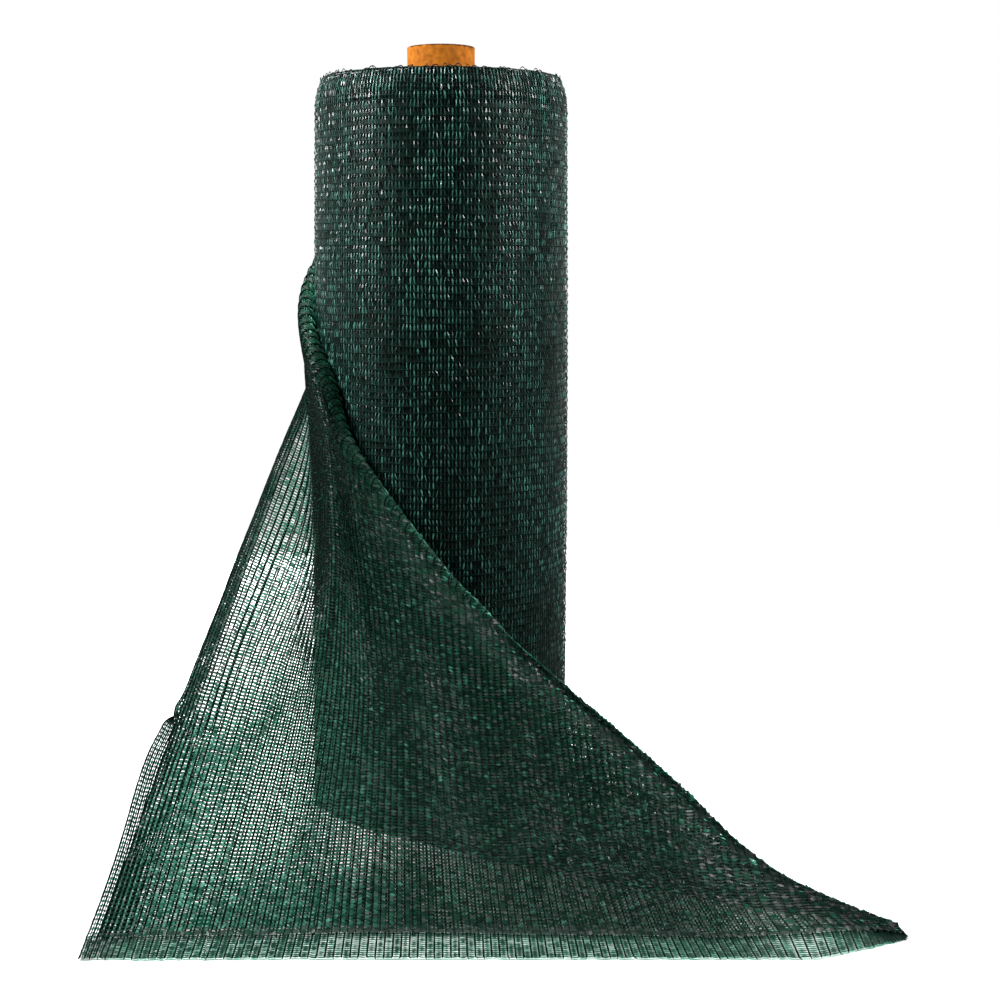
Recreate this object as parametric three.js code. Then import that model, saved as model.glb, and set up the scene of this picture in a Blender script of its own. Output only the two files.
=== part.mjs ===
// A roll of shade netting that stands on its end. The net is wound on a cardboard tube, and its
// outer turn has come loose: it leaves the roll at the front left, its top falls over forwards in one
// long slanting fold, and the cut end lies spread on the ground in front of the roll.
// Millimetres, +Z up. The viewer stands at -Y, so +X is to the right and +Y is behind the roll.

import * as THREE from 'three';

// The net and the roll
const NET_WIDTH = 1000;
const ROLL_END_RADIUS = 173;
const ROLL_BELLY = 2.5;
const RIM_RADIUS = 14;
const ROLL_SIDES = 64;
const BELLY_STEPS = 6;
const RIM_STEPS = 4;

// The cardboard tube that the net is wound on
const CORE_BORE_RADIUS = 38;
const CORE_WALL = 8.5;
const CORE_LENGTH = 1043;
const CORE_SIDES = 48;
const GAP = 0.3;

// The loose outer turn: how thick it is, and the path that it follows over the ground. It clears the
// roll by the gap, plus what its own flat facets dip inwards. The flap lies outside it.
const NET_THICKNESS = 2;
const CHORD_DIP = 0.6;
const PATH_RADIUS = ROLL_END_RADIUS + ROLL_BELLY + GAP + CHORD_DIP + NET_THICKNESS / 2;
const FLAP_RADIUS = PATH_RADIUS + 4 * NET_THICKNESS;
const LEAVING_ANGLE = THREE.MathUtils.degToRad(-28.7);
const BILLOW = 0.08;

// One row for each section across the loose turn, from behind the roll to the right-hand corner.
// along: distance along the path, counted from where the turn leaves the roll
// height, fold: height of the fold over the top, and the radius that it bends at
// foot: how far the bottom selvedge stands out in front of the path
// shoulder, waist, knee: three points of the flap that hangs from the fold, as x, y, z
// toe, hem: where the flap meets the ground and where the cut end lies, as x, y
// All points are measured from the axis of the roll.
const SECTIONS = [
  { along: -499, height: 1000, fold: 4, foot: 0,
    shoulder: [-93, 163, 760], waist: [-178, 48, 602], knee: [-306, -328, 250],
    toe: [-393, -510], hem: [-390, -562] },
  { along: -377, height: 875, fold: 6, foot: 0,
    shoulder: [-167, 88, 670], waist: [-188, 8, 575], knee: [-290, -328, 250],
    toe: [-358, -508], hem: [-356, -561] },
  { along: -278, height: 775, fold: 8, foot: 0,
    shoulder: [-189, 16, 640], waist: [-178, -86, 490], knee: [-257, -330, 250],
    toe: [-328, -504], hem: [-321, -560] },
  { along: -175, height: 692, fold: 9.5, foot: 0,
    shoulder: [-170, -104, 540], waist: [-160, -200, 370], knee: [-198, -325, 245],
    toe: [-264, -502], hem: [-261, -560] },
  { along: -76, height: 600, fold: 12, foot: 0,
    shoulder: [-142, -178, 500], waist: [-133, -250, 365], knee: [-143, -345, 205],
    toe: [-177, -499], hem: [-175, -560] },
  { along: -37, height: 522, fold: 13, foot: 2,
    shoulder: [-120, -196, 440], waist: [-103, -252, 325], knee: [-95, -340, 192],
    toe: [-104, -494], hem: [-102, -560] },
  { along: 64, height: 402, fold: 13, foot: 14,
    shoulder: [-31, -234, 345], waist: [-22, -288, 250], knee: [-12, -367, 143],
    toe: [0, -494], hem: [0, -560] },
  { along: 155, height: 314, fold: 12, foot: 25,
    shoulder: [50, -272, 268], waist: [55, -313, 203], knee: [64, -386, 112],
    toe: [81, -497], hem: [81, -560] },
  { along: 308, height: 208, fold: 10, foot: 30,
    shoulder: [185, -337, 176], waist: [189, -368, 136], knee: [197, -426, 70],
    toe: [223, -502], hem: [225, -560] },
  { along: 425, height: 126, fold: 8, foot: 20,
    shoulder: [286, -387, 101], waist: [285, -412, 76], knee: [290, -453, 39],
    toe: [315, -507], hem: [319, -560] },
  { along: 490, height: 79, fold: 7, foot: 16,
    shoulder: [344, -415, 61], waist: [345, -432, 44], knee: [349, -463, 21],
    toe: [363, -502], hem: [364, -560] },
  { along: 546, height: 45, fold: 6, foot: 13,
    shoulder: [393, -435, 33], waist: [396, -450, 23], knee: [403, -471, 11],
    toe: [415, -495], hem: [411, -558] },
  { along: 623, height: 21, fold: 4, foot: 7,
    shoulder: [459, -464, 13], waist: [462, -469, 9], knee: [467, -478, 5],
    toe: [477, -490], hem: [474, -530] },
  { along: 684, height: 9, fold: 3, foot: 0,
    shoulder: [513, -491, 4.2], waist: [514, -494, 2.8], knee: [516, -497, 1.8],
    toe: [518, -501], hem: [521, -506] },
];

// How finely the loose turn is divided
const STEPS_BETWEEN_ROWS = 4;
const STEPS = { skirt: 6, fold: 6, flap: 18, strip: 2 };

// A smooth curve through values at uneven places: each value has the slope of its two neighbours
function through(places, values, at) {
  const last = places.length - 1;
  let i = 0;
  while (i < last - 1 && at > places[i + 1]) {
    i += 1;
  }
  const slope = (k) => {
    const before = Math.max(k - 1, 0);
    const after = Math.min(k + 1, last);
    return (values[after] - values[before]) / (places[after] - places[before]);
  };
  const span = places[i + 1] - places[i];
  const t = (at - places[i]) / span;
  const ease = t * t * (3 - 2 * t);
  const lead = t * (1 - t) * (1 - t) * span * slope(i);
  const trail = t * t * (t - 1) * span * slope(i + 1);
  return values[i] + (values[i + 1] - values[i]) * ease + lead + trail;
}

// The section at any place along the path, blended from the rows
function sectionAt(along) {
  const places = SECTIONS.map((row) => row.along);
  const blend = (pick) => through(places, SECTIONS.map(pick), along);
  const point = (name) => {
    const ground = SECTIONS[0][name].length === 2;
    const z = ground ? NET_THICKNESS / 2 : blend((row) => row[name][2]);
    return new THREE.Vector3(blend((row) => row[name][0]), blend((row) => row[name][1]), z);
  };
  return {
    along,
    height: blend((row) => row.height),
    fold: blend((row) => row.fold),
    foot: blend((row) => row.foot),
    shoulder: point('shoulder'),
    waist: point('waist'),
    knee: point('knee'),
    toe: point('toe'),
    hem: point('hem'),
  };
}

// A point above the path, at a height, and so far out from it. The path runs round the roll and
// then straight on to the right-hand corner.
function besidePath(along, out, height) {
  const angle = LEAVING_ANGLE + Math.min(along, 0) / PATH_RADIUS;
  const ahead = Math.max(along, 0);
  const radius = PATH_RADIUS + out;
  return new THREE.Vector3(
    radius * Math.sin(angle) + ahead * Math.cos(angle),
    -radius * Math.cos(angle) + ahead * Math.sin(angle),
    height,
  );
}

// The part that stands on the bottom selvedge, bellied a little once it is clear of the roll
function skirtPoint(section, share) {
  const top = section.height - section.fold;
  const clear = THREE.MathUtils.clamp((section.along - 60) / 120, 0, 1);
  const belly = BILLOW * section.height * clear * Math.sin(Math.PI * share);
  const out = section.foot * (1 - share) ** 2 - belly;
  return besidePath(section.along, out, top * share);
}

// The half turn over the top
function foldPoint(section, share) {
  const turn = Math.PI * share;
  const out = section.fold * (1 - Math.cos(turn));
  return besidePath(section.along, out, section.height - section.fold + section.fold * Math.sin(turn));
}

// The flap that hangs from the fold down to the ground. Where it lies against the roll, it is bent
// round it.
function flapPoint(section, share) {
  const knots = [
    foldPoint(section, 0.5), foldPoint(section, 1),
    section.shoulder, section.waist, section.knee, section.toe,
  ];
  const places = [0];
  for (let i = 1; i < knots.length; i += 1) {
    places.push(places[i - 1] + knots[i].distanceTo(knots[i - 1]));
  }
  const at = places[1] + (places[5] - places[1]) * share;
  const blend = (axis) => through(places, knots.map((knot) => knot[axis]), at);
  const point = new THREE.Vector3(blend('x'), blend('y'), blend('z'));
  const push = Math.max(FLAP_RADIUS / Math.hypot(point.x, point.y), 1);
  return new THREE.Vector3(point.x * push, point.y * push, point.z);
}

// The strip that lies on the ground up to the cut end
function stripPoint(section, share) {
  return section.toe.clone().lerp(section.hem, share);
}

// All points of one section, from the bottom selvedge over the fold to the cut end
function sectionPoints(section) {
  const points = [skirtPoint(section, 0)];
  const parts = { skirt: skirtPoint, fold: foldPoint, flap: flapPoint, strip: stripPoint };
  for (const [name, pointAt] of Object.entries(parts)) {
    for (let i = 1; i <= STEPS[name]; i += 1) {
      points.push(pointAt(section, i / STEPS[name]));
    }
  }
  return points;
}

// A closed sheet: the grid moved half its thickness to each side, and walls along its four edges.
// Nothing reaches below the ground.
function thickSheet(grid, thickness) {
  const rows = grid.length;
  const columns = grid[0].length;
  const sides = [thickness / 2, -thickness / 2];
  const positions = [];
  for (const side of sides) {
    for (let r = 0; r < rows; r += 1) {
      for (let c = 0; c < columns; c += 1) {
        const across = grid[Math.min(r + 1, rows - 1)][c].clone().sub(grid[Math.max(r - 1, 0)][c]);
        const down = grid[r][Math.min(c + 1, columns - 1)].clone().sub(grid[r][Math.max(c - 1, 0)]);
        const normal = across.cross(down).normalize();
        const point = grid[r][c].clone().addScaledVector(normal, side);
        positions.push(point.x, point.y, Math.max(point.z, 0));
      }
    }
  }
  const front = (r, c) => r * columns + c;
  const back = (r, c) => rows * columns + r * columns + c;
  const faces = [];
  const quad = (a, b, c, d) => faces.push(a, b, c, a, c, d);
  for (let r = 0; r < rows - 1; r += 1) {
    for (let c = 0; c < columns - 1; c += 1) {
      quad(front(r, c), front(r + 1, c), front(r + 1, c + 1), front(r, c + 1));
      quad(back(r, c), back(r, c + 1), back(r + 1, c + 1), back(r + 1, c));
    }
  }
  for (let r = 0; r < rows - 1; r += 1) {
    const c = columns - 1;
    quad(front(r, 0), back(r, 0), back(r + 1, 0), front(r + 1, 0));
    quad(front(r, c), front(r + 1, c), back(r + 1, c), back(r, c));
  }
  for (let c = 0; c < columns - 1; c += 1) {
    const r = rows - 1;
    quad(front(0, c), front(0, c + 1), back(0, c + 1), back(0, c));
    quad(front(r, c), back(r, c), back(r, c + 1), front(r, c + 1));
  }
  const geometry = new THREE.BufferGeometry();
  geometry.setAttribute('position', new THREE.Float32BufferAttribute(positions, 3));
  geometry.setIndex(faces);
  geometry.computeVertexNormals();
  return geometry;
}

// The loose outer turn as one sheet
function makeLooseEnd() {
  const grid = [];
  for (let i = 0; i < SECTIONS.length - 1; i += 1) {
    const start = SECTIONS[i].along;
    const end = SECTIONS[i + 1].along;
    for (let k = 0; k < STEPS_BETWEEN_ROWS; k += 1) {
      grid.push(sectionPoints(sectionAt(THREE.MathUtils.lerp(start, end, k / STEPS_BETWEEN_ROWS))));
    }
  }
  grid.push(sectionPoints(sectionAt(SECTIONS[SECTIONS.length - 1].along)));
  const net = new THREE.MeshStandardMaterial({ color: 0x17493a, roughness: 0.45, metalness: 0 });
  return new THREE.Mesh(thickSheet(grid, NET_THICKNESS), net);
}

// The wound net: a thick ring with a slight belly and a rounded upper rim
function makeWoundRoll() {
  const inside = CORE_BORE_RADIUS + CORE_WALL + GAP;
  const profile = [new THREE.Vector2(inside, 0), new THREE.Vector2(ROLL_END_RADIUS, 0)];
  const rimFoot = NET_WIDTH - RIM_RADIUS;
  for (let i = 1; i <= BELLY_STEPS; i += 1) {
    const share = i / BELLY_STEPS;
    const radius = ROLL_END_RADIUS + ROLL_BELLY * Math.sin(Math.PI * share);
    profile.push(new THREE.Vector2(radius, rimFoot * share));
  }
  for (let i = 1; i <= RIM_STEPS; i += 1) {
    const turn = (Math.PI / 2) * (i / RIM_STEPS);
    const radius = ROLL_END_RADIUS - RIM_RADIUS * (1 - Math.cos(turn));
    profile.push(new THREE.Vector2(radius, rimFoot + RIM_RADIUS * Math.sin(turn)));
  }
  profile.push(new THREE.Vector2(inside, NET_WIDTH));
  profile.push(profile[0].clone());
  const net = new THREE.MeshStandardMaterial({ color: 0x0f3a2d, roughness: 0.5, metalness: 0 });
  return standing(new THREE.LatheGeometry(profile, ROLL_SIDES), net);
}

// The cardboard tube
function makeCoreTube() {
  const outside = CORE_BORE_RADIUS + CORE_WALL;
  const profile = [
    new THREE.Vector2(CORE_BORE_RADIUS, 0),
    new THREE.Vector2(outside, 0),
    new THREE.Vector2(outside, CORE_LENGTH),
    new THREE.Vector2(CORE_BORE_RADIUS, CORE_LENGTH),
    new THREE.Vector2(CORE_BORE_RADIUS, 0),
  ];
  const cardboard = new THREE.MeshStandardMaterial({ color: 0xb8752c, roughness: 0.8, metalness: 0 });
  return standing(new THREE.LatheGeometry(profile, CORE_SIDES), cardboard);
}

// A lathe turns round Y, so what it makes is stood up
function standing(geometry, material) {
  const mesh = new THREE.Mesh(geometry, material);
  mesh.rotation.x = Math.PI / 2;
  return mesh;
}

// The whole object, moved so that its origin is below the middle of its outer box
const roll = new THREE.Group();
const pieces = { core_tube: makeCoreTube(), wound_roll: makeWoundRoll(), loose_end: makeLooseEnd() };
for (const [name, piece] of Object.entries(pieces)) {
  piece.name = name;
  roll.add(piece);
}
const middle = new THREE.Box3().setFromObject(roll, true).getCenter(new THREE.Vector3());
roll.position.set(-middle.x, -middle.y, 0);

export default roll;
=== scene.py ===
# %% [markdown]
# # A roll of shade netting, with its outer turn come loose
# Shade net is knitted. Strong chains of loops run along its length, about a centimetre apart, and
# flat plastic tapes cross from chain to chain every few millimetres. Here it is wound on a cardboard
# tube that stands on its end. The outer turn has come loose, its top has fallen over forwards, and
# the cut end lies spread on the floor.
#
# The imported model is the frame: it says where the tube, the wound net and the loose turn are. Its
# solids are smooth and closed. What is made here is the knit itself, chain by chain and tape by tape,
# because light passes through its holes, and no painted pattern would do that from every side.

# %% Load the frame
import bisect
import math
from collections import namedtuple

import bmesh
import bpy
import numpy as np
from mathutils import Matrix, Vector, noise


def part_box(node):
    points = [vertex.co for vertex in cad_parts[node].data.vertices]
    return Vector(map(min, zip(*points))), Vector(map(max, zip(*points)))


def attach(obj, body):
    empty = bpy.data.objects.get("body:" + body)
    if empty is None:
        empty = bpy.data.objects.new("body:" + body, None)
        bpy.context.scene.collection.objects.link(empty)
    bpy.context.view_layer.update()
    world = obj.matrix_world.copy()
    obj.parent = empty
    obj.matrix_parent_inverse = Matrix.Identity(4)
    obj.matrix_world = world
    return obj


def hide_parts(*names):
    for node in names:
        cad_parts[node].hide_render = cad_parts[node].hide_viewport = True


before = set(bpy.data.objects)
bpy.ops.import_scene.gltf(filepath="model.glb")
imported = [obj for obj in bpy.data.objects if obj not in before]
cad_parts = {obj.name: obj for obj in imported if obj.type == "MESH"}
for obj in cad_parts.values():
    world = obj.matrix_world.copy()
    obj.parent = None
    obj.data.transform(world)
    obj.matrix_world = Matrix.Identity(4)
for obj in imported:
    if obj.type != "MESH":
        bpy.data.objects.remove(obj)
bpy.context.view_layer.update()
core_low, core_high = (np.array(corner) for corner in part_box("core_tube"))
AXIS = np.array([*(core_low + core_high)[:2] / 2, 0.0])

# %% [markdown]
# ## Camera
# The photograph looks level at the roll, from three quarters of its height. A camera that is tilted
# down makes upright sides lean together. So the tilt is kept small, and the shift, which slides the
# picture behind the lens, does the rest and keeps the roll's sides upright.

# %% Camera
# In metres from the roll's axis and the floor. The focal length and the shifts are shares of the film.
CAMERA_DISTANCE = 2.295
CAMERA_HEIGHT = 0.757
FILM_WIDTH = 36
FOCAL_SHARE = 1.652
DOWNWARD_TILT = math.radians(4)
SHIFT_RIGHT, SHIFT_DOWN = 0.059, 0.128

camera = bpy.data.objects.new("camera", bpy.data.cameras.new("camera"))
bpy.context.collection.objects.link(camera)
camera.data.sensor_width = FILM_WIDTH
camera.data.lens = FILM_WIDTH * FOCAL_SHARE
camera.data.shift_x = SHIFT_RIGHT
camera.data.shift_y = -SHIFT_DOWN
camera.location = AXIS + np.array([0, -CAMERA_DISTANCE, CAMERA_HEIGHT])
camera.rotation_euler = (math.pi / 2 - DOWNWARD_TILT, 0, 0)
bpy.context.scene.camera = camera
print("camera", [round(x, 3) for x in camera.location], "lens", round(camera.data.lens, 1), "mm")

# %% [markdown]
# ## Colours and materials
# The net is polyethylene. The chains are knitted from thin dark threads, packed close, so they look
# nearly black. The tapes are thin film, slit and drawn: glossy, and pale green where light comes
# through them. A picture of a net could carry all of this, but it would repeat. Here every tape and
# stitch has a number of its own, called tone, and a ramp turns that number into its shade. The loose
# film is darkened as painted shade, and the film on the roll carries painted glints.

# %% A colour and a node
def colour(code):
    """An sRGB hex colour as the linear numbers that shaders use."""
    parts = [int(code[i : i + 2], 16) / 255 for i in (1, 3, 5)]
    return [c / 12.92 if c <= 0.04045 else ((c + 0.055) / 1.055) ** 2.4 for c in parts] + [1.0]


def add(tree, kind, inputs=(), stops=(), **settings):
    """Adds a node. Each input is a value or another node's output socket.

    stops are a colour ramp's two colours, each as a place from 0 to 1 and a hex code.
    """
    node = tree.nodes.new(kind)
    for name, value in settings.items():
        setattr(node, name, value)
    for i, (place, code) in enumerate(stops):
        node.color_ramp.elements[i].position = place
        node.color_ramp.elements[i].color = colour(code)
    for name, value in dict(inputs).items():
        if isinstance(value, bpy.types.NodeSocket):
            tree.links.new(value, node.inputs[name])
        else:
            node.inputs[name].default_value = value
    return node


def new_material(name):
    material = bpy.data.materials.new(name)
    material.use_nodes = True
    material.node_tree.nodes.clear()
    return material, material.node_tree


print("a middle grey, #808080, is", round(colour("#808080")[0], 3), "in linear numbers")


# %% Slit film tape
POLYETHYLENE_IOR = 1.51


def by_tone(tree, dark, light):
    """A colour for each tape or stitch, from its own tone."""
    tone = add(tree, "ShaderNodeAttribute", attribute_name="tone")
    shade = add(tree, "ShaderNodeValToRGB", {"Fac": tone.outputs["Fac"]}, stops=[(0, dark), (1, light)])
    return shade.outputs["Color"]


def slit_film(name, front, through, through_share, shine):
    """Drawn polyethylene tape: glossy glints, and part of the light comes through from behind."""
    material, tree = new_material(name)
    film = add(tree, "ShaderNodeBsdfPrincipled", {
        "Base Color": by_tone(tree, *front), "Roughness": 0.32,
        "IOR": POLYETHYLENE_IOR, "Specular IOR Level": shine})
    glow = add(tree, "ShaderNodeBsdfTranslucent", {"Color": by_tone(tree, *through)})
    both = add(tree, "ShaderNodeMixShader", {"Fac": through_share, 1: film.outputs[0], 2: glow.outputs[0]})
    add(tree, "ShaderNodeOutputMaterial", {"Surface": both.outputs[0]})
    return material


# Loose tapes: their front colour is the film's dark green darkened nearly to black, a painted shade. They
# glow pale green against the light.
LOOSE_FILM_PAINTED_SHADE = slit_film(
    "slit polyethylene film",
    front=("#010A07", "#06211A"), through=("#11705A", "#94F0D2"), through_share=0.68, shine=0.5)
# Wound tapes have dark net behind them, so little light comes through. Their front colour runs from near
# black up to a pale grey-green: painted glints.
WOUND_FILM_PAINTED_GLINTS = slit_film(
    "slit polyethylene film, wound, painted glints",
    front=("#02120D", "#488478"), through=("#06281F", "#2F8A70"), through_share=0.12, shine=0.45)
print("materials:", LOOSE_FILM_PAINTED_SHADE.name, "and", WOUND_FILM_PAINTED_GLINTS.name)


# %% Knitted chain
def knitted_chain(name, dark, light):
    """Packed loops of thin thread: nearly black, with a dull sheen that changes from stitch to stitch."""
    material, tree = new_material(name)
    thread = add(tree, "ShaderNodeBsdfPrincipled", {
        "Base Color": by_tone(tree, dark, light), "Roughness": 0.6,
        "IOR": POLYETHYLENE_IOR, "Specular IOR Level": 0.05})
    add(tree, "ShaderNodeOutputMaterial", {"Surface": thread.outputs[0]})
    return material


CHAIN = knitted_chain("knitted polyethylene chain", "#000D08", "#04201A")
print("material:", CHAIN.name)

# %% [markdown]
# ## How the loose turn lies
# The bottom selvedge stands on the floor along a path, round the roll and then straight on to the
# right-hand corner. At each place on that path a section of the cloth goes up, over the fold and down
# the flap to the cut end. A cloth simulation would find some fold, but not this one, so the sections
# are listed. The same few, in metres from the roll's axis, shape the imported solid. Each one is
# also the place where one chain of the knit crosses the fold.

# %% Sizes of the net and the sections
NET_WIDTH = 1.0
CHAINS = 105
CHAIN_SPACING = NET_WIDTH / CHAINS
# The roll's radius at its ends, and how much it swells in the middle.
ROLL_RADIUS = 0.173
ROLL_BELLY = 0.0025
# The path lies on the roll as far as the angle where it leaves. The flap stays a little farther out.
PATH_RADIUS = 0.1774
FLAP_RADIUS = PATH_RADIUS + 0.006
LEAVING_ANGLE = math.radians(-28.7)

# chain: the chain that crosses the fold here. along: metres along the path, 0 where it leaves the roll.
# height, fold: of the fold's top, and its radius. foot: how far outside the path the selvedge stands.
# shoulder, waist, knee: points down the flap. toe, hem: the crease and the cut end, on the floor.
Section = namedtuple("Section", "chain along height fold foot shoulder waist knee toe hem")
SECTIONS = [
    Section(0, -0.499, 1.000, 0.004, 0, (-0.093, 0.163, 0.760), (-0.178, 0.048, 0.602),
            (-0.306, -0.328, 0.250), (-0.393, -0.510), (-0.390, -0.562)),
    Section(6, -0.377, 0.875, 0.006, 0, (-0.164, 0.088, 0.670), (-0.179, 0.002, 0.572),
            (-0.283, -0.328, 0.250), (-0.358, -0.508), (-0.356, -0.561)),
    Section(10, -0.278, 0.775, 0.008, 0, (-0.189, 0.016, 0.640), (-0.178, -0.086, 0.490),
            (-0.257, -0.330, 0.250), (-0.328, -0.504), (-0.325, -0.562)),
    Section(16.7, -0.175, 0.692, 0.0095, 0, (-0.170, -0.104, 0.540), (-0.160, -0.200, 0.370),
            (-0.198, -0.325, 0.245), (-0.264, -0.502), (-0.264, -0.561)),
    Section(26.2, -0.076, 0.600, 0.012, 0, (-0.142, -0.178, 0.500), (-0.133, -0.250, 0.365),
            (-0.143, -0.345, 0.205), (-0.177, -0.499), (-0.178, -0.560)),
    Section(34.4, -0.037, 0.522, 0.013, 0.002, (-0.120, -0.196, 0.440), (-0.103, -0.252, 0.325),
            (-0.095, -0.340, 0.192), (-0.104, -0.494), (-0.104, -0.560)),
    Section(45.8, 0.064, 0.402, 0.013, 0.014, (-0.031, -0.234, 0.345), (-0.022, -0.288, 0.250),
            (-0.012, -0.367, 0.143), (0.000, -0.494), (0.000, -0.560)),
    Section(55, 0.155, 0.314, 0.012, 0.025, (0.050, -0.272, 0.268), (0.055, -0.313, 0.203),
            (0.064, -0.386, 0.112), (0.081, -0.497), (0.081, -0.560)),
    Section(72, 0.308, 0.208, 0.010, 0.030, (0.185, -0.337, 0.176), (0.189, -0.368, 0.136),
            (0.197, -0.426, 0.070), (0.223, -0.502), (0.225, -0.560)),
    Section(83.3, 0.425, 0.126, 0.008, 0.020, (0.286, -0.387, 0.101), (0.285, -0.412, 0.076),
            (0.290, -0.453, 0.039), (0.315, -0.507), (0.319, -0.560)),
    Section(89, 0.490, 0.079, 0.007, 0.016, (0.344, -0.415, 0.061), (0.345, -0.432, 0.044),
            (0.349, -0.463, 0.021), (0.363, -0.502), (0.364, -0.560)),
    Section(93, 0.546, 0.045, 0.006, 0.013, (0.393, -0.435, 0.033), (0.396, -0.450, 0.023),
            (0.403, -0.471, 0.011), (0.415, -0.495), (0.411, -0.558)),
    Section(99, 0.623, 0.021, 0.004, 0.007, (0.459, -0.464, 0.013), (0.462, -0.469, 0.009),
            (0.467, -0.478, 0.005), (0.477, -0.490), (0.474, -0.530)),
    Section(105, 0.684, 0.009, 0.003, 0, (0.513, -0.491, 0.0042), (0.514, -0.494, 0.0028),
            (0.516, -0.497, 0.0018), (0.518, -0.501), (0.521, -0.506)),
]
print(len(SECTIONS), "sections for", CHAINS, "chains,", round(CHAIN_SPACING * 1000, 2), "mm apart")


# %% A smooth section anywhere along the path
FLOOR_LIFT = 0.001


def through(places, values, at):
    """A smooth curve through values at uneven places: each value has the slope of its neighbours."""
    last = len(places) - 1
    i = min(max(bisect.bisect_left(places, at) - 1, 0), last - 1)

    def slope(k):
        before, after = max(k - 1, 0), min(k + 1, last)
        return (values[after] - values[before]) / (places[after] - places[before])

    span = places[i + 1] - places[i]
    t = (at - places[i]) / span
    ease = t * t * (3 - 2 * t)
    lead = t * (1 - t) ** 2 * span * slope(i)
    trail = t * t * (t - 1) * span * slope(i + 1)
    return values[i] + (values[i + 1] - values[i]) * ease + lead + trail


ALONGS = [row.along for row in SECTIONS]
FLAT_ROWS = [np.hstack([np.ravel(value) for value in row]) for row in SECTIONS]


def section_at(along):
    """All the numbers of a section are blended at once, then put back in their fields."""
    row = through(ALONGS, FLAT_ROWS, along)
    on_the_floor = [np.append(row[14:16], FLOOR_LIFT), np.append(row[16:18], FLOOR_LIFT)]
    return Section(*row[:5], row[5:8], row[8:11], row[11:14], *on_the_floor)


print("where the path leaves the roll, the fold is", round(float(section_at(0).height), 3), "m high")


# %% The four parts of a section: skirt, fold, flap and the strip on the floor
# How far the skirt bellies inwards, as a share of its height, and where along the path that begins.
BILLOW = 0.08
BILLOW_START, BILLOW_LENGTH = 0.060, 0.120
# The fold is round on the roll's left and pressed flat to a quarter of that on the right.
PRESSED = 0.75
PRESSED_START, PRESSED_LENGTH = -0.05, 0.20


def clamped(value):
    return min(max(value, 0), 1)


def beside_path(along, out, height):
    """A point at a place along the path, this far outside it and this high."""
    angle = LEAVING_ANGLE + min(along, 0) / PATH_RADIUS
    ahead = max(along, 0)
    radius = PATH_RADIUS + out
    return np.array([
        radius * math.sin(angle) + ahead * math.cos(angle),
        -radius * math.cos(angle) + ahead * math.sin(angle),
        height,
    ])


def skirt_point(section, share):
    """From the floor, at share 0, up to the start of the fold."""
    clear = clamped((section.along - BILLOW_START) / BILLOW_LENGTH)
    belly = BILLOW * section.height * clear * math.sin(math.pi * share)
    out = section.foot * (1 - share) ** 2 - belly
    return beside_path(section.along, out, (section.height - section.fold) * share)


def fold_point(section, share):
    """Over the fold, in half a turn outwards."""
    turn = math.pi * share
    tight = 1 - PRESSED * clamped((section.along - PRESSED_START) / PRESSED_LENGTH)
    rise = section.fold * math.sin(turn)
    out = section.fold * tight * (1 - math.cos(turn))
    return beside_path(section.along, out, section.height - section.fold + rise)


def flap_point(section, share):
    """From the fold down to the crease, pushed out wherever the curve would enter the roll."""
    knots = [fold_point(section, 0.5), fold_point(section, 1), section.shoulder, section.waist,
             section.knee, section.toe]
    places = [0.0]
    for before, after in zip(knots, knots[1:]):
        places.append(places[-1] + float(np.linalg.norm(after - before)))
    point = through(places, knots, places[1] + (places[-1] - places[1]) * share)
    push = max(FLAP_RADIUS / math.hypot(point[0], point[1]), 1)
    return point * np.array([push, push, 1])


print("there the fold's top is at", fold_point(section_at(0), 0.5).round(3), "from the roll's axis")


# %% [markdown]
# ## The chains of the loose turn
# A chain runs level round the skirt until the slanting fold cuts across it. There it turns over the
# fold and runs down the flap. All chains are measured off in the same number of tape rows, as the
# real net is, so the tapes' directions on the flap come out by themselves. The grid of points has a
# line for each chain and one halfway to the next, where the middles of the tapes lie.

# %% The path of one chain
FINE_STEP = 0.003
FOLD_STEPS = 8
FLAP_STEPS = 60
STRIP_STEPS = 8
# At the crease the net rolls back on itself before it turns forwards: points back and up, in tucks.
TUCK = 0.004
CREASE = [(-0.6, 0.9), (-0.9, 0.4), (-0.5, 0.1), (0.3, 0.0)]
FULL_STRIP = 0.050

fine_alongs = np.arange(ALONGS[0], ALONGS[-1] + 1e-9, FINE_STEP)
fine_sections = [section_at(along) for along in fine_alongs]
crossing_chain = np.maximum.accumulate([section.chain for section in fine_sections])


def measured(points):
    """How far along its path each point lies."""
    steps = np.linalg.norm(np.diff(points, axis=0), axis=1)
    return np.concatenate([[0], np.cumsum(steps)])


def resampled(points, places):
    """Points on the same path, at these distances along it."""
    lengths = measured(points)
    return np.stack([np.interp(places, lengths, points[:, i]) for i in range(3)], axis=1)


def chain_path(chain):
    """The chain's points in order, the length of its last stretch, on the floor, and the fold's place."""
    crossing = float(np.interp(chain, crossing_chain, fine_alongs))
    points = [
        skirt_point(section, (CHAINS - chain) / (CHAINS - section.chain))
        for section in fine_sections
        if section.along < crossing - FINE_STEP
    ]
    section = section_at(crossing)
    top = len(points) + FOLD_STEPS // 2
    points += [fold_point(section, i / FOLD_STEPS) for i in range(FOLD_STEPS + 1)]
    points += [flap_point(section, i / FLAP_STEPS) for i in range(1, FLAP_STEPS + 1)]
    strip = section.hem - section.toe
    strip_length = float(np.linalg.norm(strip))
    tuck = TUCK * min(strip_length / FULL_STRIP, 1)
    points += [section.toe + np.array([0, back, lift]) * tuck for back, lift in CREASE]
    points += [section.toe + strip * i / STRIP_STEPS for i in range(1, STRIP_STEPS + 1)]
    points = np.array(points)
    lengths = measured(points)
    even = resampled(points, np.arange(0, lengths[-1], FINE_STEP))
    for _ in range(2):
        even[1:-1] = (even[:-2] + 2 * even[1:-1] + even[2:]) / 4
    return even, strip_length, lengths[top]


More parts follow.
